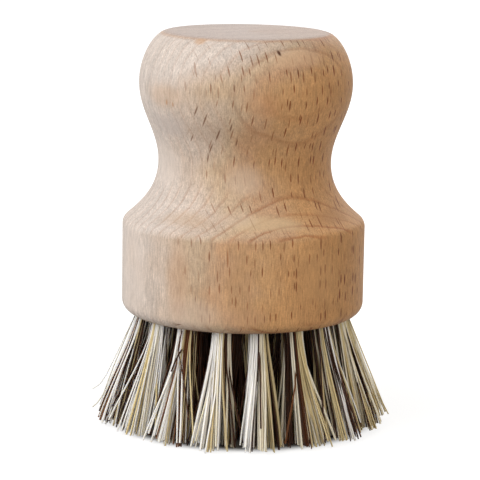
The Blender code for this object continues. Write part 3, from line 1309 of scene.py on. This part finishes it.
@dataclass(frozen=True)
class BeechFinish:
    """Steamed European beech, turned, sanded and left raw.

    It gives the eye a matt surface, pinkish cream to the left and tan to the right,
    a drift that is partly the wood's own tone and partly painted window light on the
    left, with short dark ray dashes where the rays are cut across, faint growth-ring
    arches on the slopes and a greyer end grain. Rings, noises and rays are in millimetres.
    """

    grounds: tuple[tuple[float, str], ...] = (
        (0.02, "#C5B9B0"),
        (0.20, "#BFAD9E"),
        (0.36, "#B9A187"),
        (0.50, "#B69272"),
        (0.62, "#B99167"),
        (0.74, "#BC8F60"),
        (1.00, "#AE8151"),
    )
    end_grain: str = "#A39289"
    burnish: str = "#DDB792"
    late_wood: str = "#C4926C"
    ray_brown: str = "#9E6A38"
    roughness: float = 0.62
    sheen_level: float = 0.35
    relief_strength: float = 0.45
    relief_depth: float = 0.06 * MM

    # How the ground moves along its ramp of colours, towards tan.
    slope_pull: float = -0.20
    # Painted light from above: the head turns paler towards its crown.
    crown_pull: Fade = Fade(70.0 * MM, 80.0 * MM, 0.0, -0.26)
    # On the drum the left is paler and the right more tan: partly the wood's own tone, partly
    # painted window light on the left.
    near_foot: Fade = Fade(48.0 * MM, 34.0 * MM)
    foot_pull: Fade = Fade(0.0, 0.3, -0.05, 0.09)
    clouds: Mottle = Mottle(0.11, 0.11, 2.0)
    cloud_pull: float = 0.36

    # Where the flat cuts turn grey, and the rubbed edge between them and the sides.
    end_grain_share: Fade = Fade(0.86, 0.999, 0.0, 0.85)
    edge_start: Fade = Fade(0.78, 0.88, 0.0, 0.45)
    edge_end: Fade = Fade(0.90, 0.99, 1.0, 0.0)

    # Growth rings, with late wood as a thin line at the end of each year. Where the
    # surface is upright, cut_across starts from upright_share and not from 0.
    grain_direction: float = math.radians(31.0)
    pith_distance: float = 90.0
    first_ring: float = 16.75
    ring_pitch: float = 2.06
    bends: tuple[Mottle, float] = (Mottle(0.05, 0.05, 1.0), 2.4)
    waves: tuple[Mottle, float] = (Mottle(0.45, 0.45, 2.0), 0.5)
    year_tone: Ramp = Ramp(0.0, 1.0, 0.93, 1.05)
    year_strength: Ramp = Ramp(0.0, 1.0, 0.28, 0.64)
    late_start: Fade = Fade(0.62, 0.90)
    late_end: Fade = Fade(0.88, 1.0, 1.0, 0.0)
    on_end_grain: Fade = Fade(0.86, 0.999, 1.0, 0.40)
    flat_sawn: Fade = Fade(0.0, 0.6, 0.50, 1.0)
    cut_across: Fade = Fade(0.10, 0.52)
    upright_share: Fade = Fade(50.0 * MM, 62.0 * MM, 0.12, 0.50)
    knob_share: Fade = Fade(50.0 * MM, 62.0 * MM, 1.0, 0.66)

    # Beech's pores are some 0.06 mm wide. The streaks are drawn 0.26 mm wide, to show.
    streaks: Mottle = Mottle(3.8, 0.42, 4.0, 0.72)
    streak_level: Ramp = Ramp(0.3, 0.7, 0.71, 1.27)
    patches: Mottle = Mottle(0.85, 0.30, 3.0, 0.55)
    patch_level: Ramp = Ramp(0.3, 0.7, 0.90, 1.09)
    specks: Mottle = Mottle(3.2, 3.2, 1.0)
    speck_level: Ramp = Ramp(0.3, 0.7, 0.92, 1.08)
    # Painted shade: the block darkens towards its lower edge, where shade falls under it.
    painted_foot_shade: Fade = Fade(23.0 * MM, 25.6 * MM, 0.86, 1.0)

    fine_rays: RayField = RayField(0.60, 1.5, 0.07, 0.55, 0.20, 0.34)
    broad_rays: RayField = RayField(1.42, 3.0, 0.140, 1.20, 0.14, 1.0)
    marks: tuple[WoodMark, ...] = (
        WoodMark(11.0, 21.6, 68.0, 5.6, 3.2, 0.0, "#B57C46", 0.30),
        WoodMark(-48.0, 21.7, 69.0, 7.0, 3.0, 0.0, "#BD9F84", 0.40),
        # Painted shade under the head's overhang, on wood a little greyer there: this mark and the
        # next.
        WoodMark(-50.0, 20.3, 62.8, 8.0, 3.6, 0.0, "#B4A9A4", 0.45),
        WoodMark(-22.0, 20.0, 61.2, 8.5, 5.0, -12.0, "#9C8572", 0.26),
        WoodMark(8.0, 19.6, 61.0, 8.0, 4.5, 0.0, "#A67B50", 0.24),
        WoodMark(0.0, 18.0, 53.0, 5.0, 4.0, 0.0, "#C2AC98", 0.50),
        WoodMark(-20.0, 20.6, 41.5, 6.0, 4.0, 0.0, "#AF8F70", 0.40),
        WoodMark(-64.0, 25.0, 33.0, 8.0, 13.0, 0.0, "#DACABE", 0.38),
        WoodMark(-31.0, 17.9, 80.1, 1.7, 0.8, 0.0, "#B4895F", 0.55),
        WoodMark(-32.0, 21.5, 44.0, 8.0, 4.5, 0.0, "#AC9074", 0.42),
        WoodMark(13.0, 21.8, 44.6, 9.0, 3.2, 0.0, "#C4AD8B", 0.55),
        WoodMark(-4.0, 21.3, 45.6, 5.0, 2.8, 0.0, "#C8B2A0", 0.22),
        WoodMark(53.0, 21.6, 45.0, 6.5, 3.6, 0.0, "#9C7046", 0.55),
        WoodMark(-24.0, 24.9, 26.5, 7.0, 4.5, 0.0, "#BFAA99", 0.45),
        WoodMark(-31.0, 25.0, 33.5, 3.4, 9.5, 0.0, "#B98F70", 0.34),
        WoodMark(-2.0, 25.0, 35.0, 3.4, 8.0, 0.0, "#A27E5C", 0.34),
        WoodMark(2.5, 24.9, 26.6, 5.0, 3.0, 0.0, "#A98364", 0.40),
        WoodMark(31.0, 20.1, 77.5, 8.5, 2.8, 0.0, "#CBA684", 0.55),
        WoodMark(-62.0, 17.9, 55.0, 6.0, 6.0, 0.0, "#CFC1B6", 0.50),
        WoodMark(38.0, 25.0, 34.0, 7.0, 7.0, 0.0, "#BF9466", 0.40),
        WoodMark(-7.0, 25.0, 38.6, 0.22, 2.2, -3.0, "#93613A", 0.75),
        WoodMark(19.0, 19.6, 78.4, 0.42, 0.75, -26.0, "#4A2814", 1.00),
        WoodMark(-27.2, 21.4, 66.8, 0.21, 1.55, 28.0, "#6B4A35", 0.85),
        WoodMark(-22.5, 20.8, 65.1, 0.21, 2.15, 27.0, "#6B4A35", 0.85),
        WoodMark(-15.8, 19.7, 62.1, 0.23, 1.80, 26.0, "#63412C", 0.90),
        WoodMark(-21.2, 18.6, 59.2, 0.21, 1.45, 27.0, "#6B4A35", 0.85),
        WoodMark(-23.9, 18.0, 57.1, 0.21, 1.25, 15.0, "#6B4A35", 0.80),
        WoodMark(-33.2, 19.3, 61.0, 0.19, 1.25, 34.0, "#6B4A35", 0.75),
        WoodMark(-8.0, 20.3, 63.7, 0.21, 1.15, 16.0, "#63412C", 0.85),
        WoodMark(-5.0, 19.0, 60.6, 0.19, 1.05, 14.0, "#63412C", 0.80),
        WoodMark(-1.8, 21.1, 75.0, 0.21, 1.40, -14.0, "#7A5138", 0.85),
        WoodMark(-13.0, 21.4, 73.4, 0.18, 1.20, -18.0, "#8A6247", 0.75),
        WoodMark(-28.8, 20.9, 75.6, 0.18, 1.20, -28.0, "#8A6A55", 0.70),
        WoodMark(-46.5, 21.5, 67.9, 0.30, 0.75, 12.0, "#A87850", 0.70),
        WoodMark(-42.0, 21.5, 67.6, 0.28, 0.65, 8.0, "#A87850", 0.60),
        # Painted shadow in the nick at the foot.
        WoodMark(-31.5, 24.8, 24.1, 1.20, 0.16, -14.0, "#6A4E3A", 0.80),
    )

    def material(self) -> Material:
        """Build the node material.

        Returns:
            The material.
        """
        levels = {"Roughness": self.roughness, "Specular IOR Level": self.sheen_level}
        material, tree, shader = new_material("turned_raw_beech", levels)
        face = WoodFace.read(tree, self.grain_direction, self.pith_distance)
        grain = self.streaks.draw(tree, face.board)
        fine, broad = self.fine_rays.mask(face), self.broad_rays.mask(face)

        colour = self.with_end_grain(face, self.ground(face))
        colour = self.with_years(face, colour)
        colour = self.with_grain(face, colour, grain)
        for mask in (fine, broad):
            sockets = {0: mask, 6: colour, 7: linear(self.ray_brown)}
            colour = add_node(tree, "Mix", TINT, sockets).outputs[2]
        for mark in self.marks:
            colour = mark.lay(face, colour)
        tree.links.new(colour, shader.inputs["Base Color"])

        relief = add_node(tree, "Math", SUBTRACT, {0: grain, 1: broad})
        bump = add_node(
            tree, "Bump", None,
            {"Strength": self.relief_strength, "Distance": self.relief_depth, "Height": relief},
        )
        tree.links.new(bump.outputs[0], shader.inputs["Normal"])
        return material

    def ground(self, face: WoodFace) -> Socket:
        """Colour the wood from its pale left side to its tan right side.

        The pale left is partly the wood's own tone and partly painted window light, and the
        head turns paler towards its crown by painted light from above.

        Args:
            face: The measures of the surface.

        Returns:
            The ground colour.
        """
        tree = face.tree
        share = add_node(tree, "Math", MULTIPLY_ADD, {0: face.to_right, 1: 0.5, 2: 0.5})
        # Painted light from above: paler towards the crown.
        crown_pull = add_node(tree, "MapRange", *self.crown_pull.of(face.height))
        near_foot = add_node(tree, "MapRange", *self.near_foot.of(face.height))
        foot_pull = add_node(tree, "MapRange", *self.foot_pull.of(share))
        place = share
        for measure, pull in (
            (face.slope, self.slope_pull),
            (near_foot, foot_pull),
            (crown_pull, 1.0),
            (self.clouds.draw(tree, face.board), self.cloud_pull),
        ):
            place = add_node(tree, "Math", MULTIPLY_ADD, {0: measure, 1: pull, 2: place})
        centred = add_node(
            tree, "Math", {**SUBTRACT, "use_clamp": True}, {0: place, 1: self.cloud_pull / 2}
        )
        return add_node(tree, "ValToRGB", None, {0: centred}, self.grounds).outputs[0]

    def with_end_grain(self, face: WoodFace, colour: Socket) -> Socket:
        """Grey the flat crown and underside, and burnish the edge round them.

        Args:
            face: The measures of the surface.
            colour: The colour so far.

        Returns:
            The colour with end grain where the fibres are cut across.
        """
        tree = face.tree
        flat, edge_start = (
            add_node(tree, "MapRange", *fade.of(face.slope))
            for fade in (self.end_grain_share, self.edge_start)
        )
        edge = multiplied(tree, edge_start, (self.edge_end, face.slope))
        for blend, share, tint in ((LAY_OVER, flat, self.end_grain), (TINT, edge, self.burnish)):
            sockets = {0: share, 6: colour, 7: linear(tint)}
            colour = add_node(tree, "Mix", blend, sockets).outputs[2]
        return colour

    def with_years(self, face: WoodFace, colour: Socket) -> Socket:
        """Draw the late wood of each year as a thin darker line, stronger in some years.

        Args:
            face: The measures of the surface.
            colour: The colour so far.

        Returns:
            The colour with growth rings. They fade where the surface stands upright
            and where it cuts them edge on.
        """
        tree = face.tree
        flat = add_node(tree, "VectorMath", MULTIPLY, {0: face.board, 1: (1.0, 1.0, 0.0)})
        out = add_node(tree, "VectorMath", LENGTH, {0: flat}).outputs["Value"]
        start = self.pith_distance + self.first_ring
        for mottle, reach in (self.bends, self.waves):
            noise = mottle.draw(tree, face.board)
            out = add_node(tree, "Math", MULTIPLY_ADD, {0: noise, 1: reach, 2: out})
            start += reach / 2
        counted = add_node(tree, "Math", SUBTRACT, {0: out, 1: start})
        years = add_node(tree, "Math", DIVIDE, {0: counted, 1: self.ring_pitch})
        year = add_node(tree, "Math", {"operation": "FLOOR"}, {0: years})
        season = add_node(tree, "Math", {"operation": "FRACT"}, {0: years})
        fortune = add_node(tree, "TexWhiteNoise", {"noise_dimensions": "1D"}, {"W": year})
        draws = add_node(tree, "SeparateColor", None, {0: fortune.outputs["Color"]})
        tone = add_node(tree, "MapRange", *self.year_tone.of(draws.outputs[1]))
        toned = add_node(tree, "VectorMath", SCALE, {0: colour, "Scale": tone})
        upright = add_node(tree, "MapRange", *self.upright_share.of(face.height))
        line = multiplied(
            tree,
            add_node(tree, "MapRange", *self.year_strength.of(fortune)),
            (self.late_start, season),
            (self.late_end, season),
            (self.on_end_grain, face.slope),
            (self.flat_sawn, face.outward),
            (replace(self.cut_across, first=upright), face.slope),
            (self.knob_share, face.height),
        )
        sockets = {0: line, 6: toned, 7: linear(self.late_wood)}
        return add_node(tree, "Mix", TINT, sockets).outputs[2]

    def with_grain(self, face: WoodFace, colour: Socket, grain: Node) -> Socket:
        """Lighten and darken the colour by its noises, and paint shade on the block's lower edge.

        Args:
            face: The measures of the surface.
            colour: The colour so far.
            grain: The noise of the streaks.

        Returns:
            The colour with grain.
        """
        tree = face.tree
        shade = multiplied(
            tree,
            # Painted shade, darker towards the block's lower edge.
            add_node(tree, "MapRange", *self.painted_foot_shade.of(face.height)),
            (self.streak_level, grain),
            (self.patch_level, self.patches.draw(tree, face.board)),
            (self.speck_level, self.specks.draw(tree, face.board)),
        )
        return add_node(tree, "VectorMath", SCALE, {0: colour, "Scale": shade}).outputs[0]


@dataclass(frozen=True)
class UnionFibreFinish:
    """Union mix: bleached and natural tampico with darker palm fibre.

    It gives the eye straight hairs, each of one flat tone, from chalky white over straw
    and khaki to a near-black brown, with a soft waxy gloss along them, and tips that
    darken partly with soil and partly with painted shade where they stand on the floor.
    """

    colours: tuple[tuple[float, str], ...] = (
        (0.00, "#FCF9F2"),
        (0.15, "#F6ECD4"),
        (0.35, "#DFCB9D"),
        (0.55, "#5E3318"),
        (0.75, "#311808"),
    )
    roughness: float = 0.55
    gloss_level: float = 0.20
    glow_share: float = 0.5
    glow_depth: float = 0.6 * MM
    glow_radii: tuple[float, float, float] = (1.0, 0.9, 0.7)
    # Real streaks are far finer than a fibre. They are drawn 0.33 mm wide, to show.
    streaks: Mottle = Mottle(3.0, 0.36, 2.0)
    streak_level: Ramp = Ramp(0.3, 0.7, 0.93, 1.03)
    dullest: Ramp = Ramp(0.05, 0.45, 0.95, 0.72)
    # The dullest fibre of a kind takes its level from dullest, the brightest has this.
    tone_level: Ramp = Ramp(0.0, 1.0, last=1.06)
    # Darker towards the tips: partly soil, partly painted shade near the floor.
    soil_and_painted_shade: Fade = Fade(0.0, 9.0 * MM, 0.90, 1.0)

    def material(self) -> Material:
        """Build the node material from each fibre's kind and tone.

        Returns:
            The material.
        """
        levels = {
            "Roughness": self.roughness,
            "Specular IOR Level": self.gloss_level,
            "Subsurface Weight": self.glow_share,
            "Subsurface Radius": self.glow_radii,
            "Subsurface Scale": self.glow_depth,
        }
        material, tree, shader = new_material("union_fibre_mix", levels)
        kind, tone = (
            add_node(tree, "Attribute", {"attribute_name": name}).outputs["Fac"]
            for name in ("fibre_kind", "fibre_tone")
        )
        ramp = add_node(tree, "ValToRGB", None, {0: kind}, self.colours)
        ramp.color_ramp.interpolation = "CONSTANT"
        point = add_node(tree, "TexCoord").outputs["Object"]
        height = add_node(tree, "SeparateXYZ", None, {0: point}).outputs[2]
        dullest = add_node(tree, "MapRange", *self.dullest.of(kind))
        shade = multiplied(
            tree,
            add_node(tree, "MapRange", *self.soil_and_painted_shade.of(height)),
            (replace(self.tone_level, first=dullest), tone),
            (self.streak_level, self.streaks.draw(tree, point, 1 / MM)),
        )
        toned = add_node(tree, "VectorMath", SCALE, {0: ramp, "Scale": shade})
        tree.links.new(toned.outputs[0], shader.inputs["Base Color"])
        return material


@dataclass(frozen=True)
class GalvanisedWireFinish:
    """Galvanised steel wire, drawn and bent to staples.

    It gives the eye a cool grey metal, dulled by its zinc skin in patches about a
    millimetre across.
    """

    stops: tuple[tuple[float, str], ...] = ((0.35, "#8C9092"), (0.65, "#B9BCBE"))
    patches: Mottle = Mottle(1.2, 1.2, 3.0)
    roughness: Ramp = Ramp(0.3, 0.7, 0.5, 0.3)

    def material(self) -> Material:
        """Build the node material.

        Returns:
            The material.
        """
        material, tree, shader = new_material("galvanised_wire", {"Metallic": 1.0})
        point = add_node(tree, "TexCoord").outputs["Object"]
        patches = self.patches.draw(tree, point, 1 / MM)
        ramp = add_node(tree, "ValToRGB", None, {0: patches}, self.stops)
        rough = add_node(tree, "MapRange", *self.roughness.of(patches))
        tree.links.new(ramp.outputs[0], shader.inputs["Base Color"])
        tree.links.new(rough.outputs[0], shader.inputs["Roughness"])
        return material


@dataclass
class WireStaples:
    """The staples that hold the tufts. Their frame nodes have the right shape and stay."""

    layout: BrushLayout

    def dress(self, finish: Material) -> list[Piece]:
        """Give every staple its wire finish.

        Args:
            finish: The galvanised wire material.

        Returns:
            The staples.
        """
        staples = [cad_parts["staple_" + seat.label] for seat in self.layout.seats()]
        for staple in staples:
            staple.data.materials.clear()
            staple.data.materials.append(finish)
        return staples


@dataclass(frozen=True)
class Lamp:
    """A square soft lamp that faces the brush."""

    name: str
    azimuth: float
    elevation: float
    distance: float
    side: float
    level: float
    colour: str

    def add(self, aim: Vector) -> None:
        """Hang the lamp in the scene.

        Args:
            aim: The point that it faces.
        """
        data = bpy.data.lights.new(self.name, "AREA")
        data.shape = "SQUARE"
        data.size = self.side
        data.energy = self.level * math.pi**2 * self.distance**2
        data.color = linear(self.colour)[:3]
        lamp = bpy.data.objects.new(self.name, data)
        bpy.context.scene.collection.objects.link(lamp)
        azimuth, elevation = math.radians(self.azimuth), math.radians(self.elevation)
        back = Vector(
            (
                math.sin(azimuth) * math.cos(elevation),
                -math.cos(azimuth) * math.cos(elevation),
                math.sin(elevation),
            )
        )
        lamp.location = aim + back * self.distance
        lamp.rotation_euler = (-back).to_track_quat("-Z", "Y").to_euler()


@dataclass
class Studio:
    """A white sweep, soft window light from the left, and the photograph's camera."""

    aim: Vector = field(default_factory=lambda: Vector((-0.688, 0.0, 37.65)) * MM)
    camera_distance: float = 480.0 * MM
    camera_elevation: float = math.radians(10.451)
    camera_roll: float = math.radians(0.965)
    camera_lens: float = 174.06
    camera_sensor: float = 36.0
    white: str = "#FFFFFF"
    soft_white: str = "#FFFCF8"
    soft_level: float = 0.50
    floor_radius: float = 1.6
    floor_sides: int = 96
    floor_paper: str = "#8C8C8C"
    floor_bounce: str = "#A29F9B"
    # The floor's own glow grows with distance from the middle and leaves only the brush's
    # shadow. Within 24 mm there is none, a painted shadow under the brush that softens out
    # to 28.5 mm.
    near_glow_and_painted_shadow: Fade = Fade(24.0 * MM, 28.5 * MM, 0.0, 0.80)
    far_glow: Fade = Fade(28.5 * MM, 150.0 * MM, 0.0, 0.20)
    lamps: tuple[Lamp, ...] = (
        Lamp("window", -62.0, 34.0, 0.55, 0.45, 0.84, "#FFFFFF"),
        Lamp("front_fill", 22.0, 20.0, 0.60, 0.50, 0.35, "#FFF4E6"),
        Lamp("back_fill", 160.0, 35.0, 0.60, 0.50, 0.41, "#FFFFFF"),
    )

    def build(self) -> None:
        """Set up the camera, the light and the floor."""
        self.add_camera()
        self.light_world()
        self.add_floor()
        for lamp in self.lamps:
            lamp.add(self.aim)
        bpy.context.scene.view_settings.view_transform = "Standard"

    def add_camera(self) -> None:
        """Put the camera where the photograph was taken from."""
        data = bpy.data.cameras.new("camera")
        data.sensor_width = self.camera_sensor
        data.lens = self.camera_lens
        camera = bpy.data.objects.new("camera", data)
        bpy.context.scene.collection.objects.link(camera)
        back = Vector((0.0, -math.cos(self.camera_elevation), math.sin(self.camera_elevation)))
        camera.location = self.aim + back * self.camera_distance
        level = (-back).to_track_quat("-Z", "Y").to_matrix()
        camera.rotation_euler = (level @ Matrix.Rotation(self.camera_roll, 3, "Z")).to_euler()
        bpy.context.scene.camera = camera

    @staticmethod
    def bare_tree(owner: Material | bpy.types.World) -> Tree:
        """Give a material or the world an empty node tree.

        Args:
            owner: The material or the world.

        Returns:
            Its node tree.
        """
        owner.use_nodes = True
        owner.node_tree.nodes.clear()
        return owner.node_tree

    @staticmethod
    def seen_directly(tree: Tree) -> Socket:
        """Tell rays that come from the camera, a reflection or glass from scattered light.

        Args:
            tree: The node tree that needs to know.

        Returns:
            A socket that is 1 for such rays.
        """
        path = add_node(tree, "LightPath")
        seen = path.outputs["Is Camera Ray"]
        for ray in ("Is Glossy Ray", "Is Transmission Ray"):
            either = {0: seen, 1: path.outputs[ray]}
            seen = add_node(tree, "Math", {"operation": "MAXIMUM"}, either).outputs[0]
        return seen

    def light_world(self) -> None:
        """Make the world white to the eye, and plain soft light on the brush."""
        world = bpy.data.worlds.new("white_sweep")
        tree = self.bare_tree(world)
        soft, seen = (
            add_node(tree, "Background", None, {"Color": linear(colour), "Strength": level})
            for colour, level in ((self.soft_white, self.soft_level), (self.white, 1.0))
        )
        mix = add_node(tree, "MixShader", None, {0: self.seen_directly(tree), 1: soft, 2: seen})
        add_node(tree, "OutputWorld", None, {"Surface": mix})
        bpy.context.scene.world = world

    def add_floor(self) -> None:
        """Lay the floor: white to the eye but for the brush's shadow, partly painted, grey to its
        bounce.
        """
        # Matt paper that glows white to the eye, and gives the brush a warm grey bounce.
        material = bpy.data.materials.new("white_sweep_paper")
        tree = self.bare_tree(material)
        point = add_node(tree, "TexCoord").outputs["Object"]
        distance = add_node(tree, "VectorMath", LENGTH, {0: point}).outputs["Value"]
        near, far = (
            add_node(tree, "MapRange", *fade.of(distance))
            for fade in (self.near_glow_and_painted_shadow, self.far_glow)
        )
        strength = add_node(tree, "Math", {"operation": "ADD"}, {0: near, 1: far})
        glow = add_node(
            tree, "Emission", None, {"Color": linear(self.white), "Strength": strength}
        )
        paper, grey = (
            add_node(tree, "BsdfDiffuse", None, {"Color": linear(colour)})
            for colour in (self.floor_paper, self.floor_bounce)
        )
        lit = add_node(tree, "AddShader", None, {0: paper, 1: glow})
        mix = add_node(tree, "MixShader", None, {0: self.seen_directly(tree), 1: grey, 2: lit})
        add_node(tree, "OutputMaterial", None, {"Surface": mix})
        shape = bmesh.new()
        bmesh.ops.create_circle(
            shape, cap_ends=True, segments=self.floor_sides, radius=self.floor_radius
        )
        new_piece("floor", mesh_of(shape, "floor"), material)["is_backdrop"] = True


def main() -> None:
    """Build the brush piece by piece, then the studio."""
    logging.basicConfig(level=logging.INFO, format="%(name)s: %(message)s")
    frame_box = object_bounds()
    layout = BrushLayout.from_frame()
    LOG.info("bores lie within %.3f mm of the frame's staples", layout.drift_from_frame() / MM)

    outline = TurnedOutline(layout.crown - layout.underside, layout.drum_radius)
    block = BeechBlock(layout, outline).build(BeechFinish().material())
    tufts = UnionFilling(layout).build(UnionFibreFinish().material())
    staples = WireStaples(layout).dress(GalvanisedWireFinish().material())
    for piece in (block, *tufts, *staples):
        LOG.info("%s: %d faces", piece.name, len(piece.data.polygons))

    Studio().build()
    bpy.context.view_layer.update()
    boxes = {"frame": frame_box, "looks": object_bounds()}
    for name, box in boxes.items():
        low, high = ([round(value / MM, 2) for value in corner] for corner in box)
        LOG.info("%s box: %s to %s mm", name, low, high)


if __name__ == "__main__":
    main()
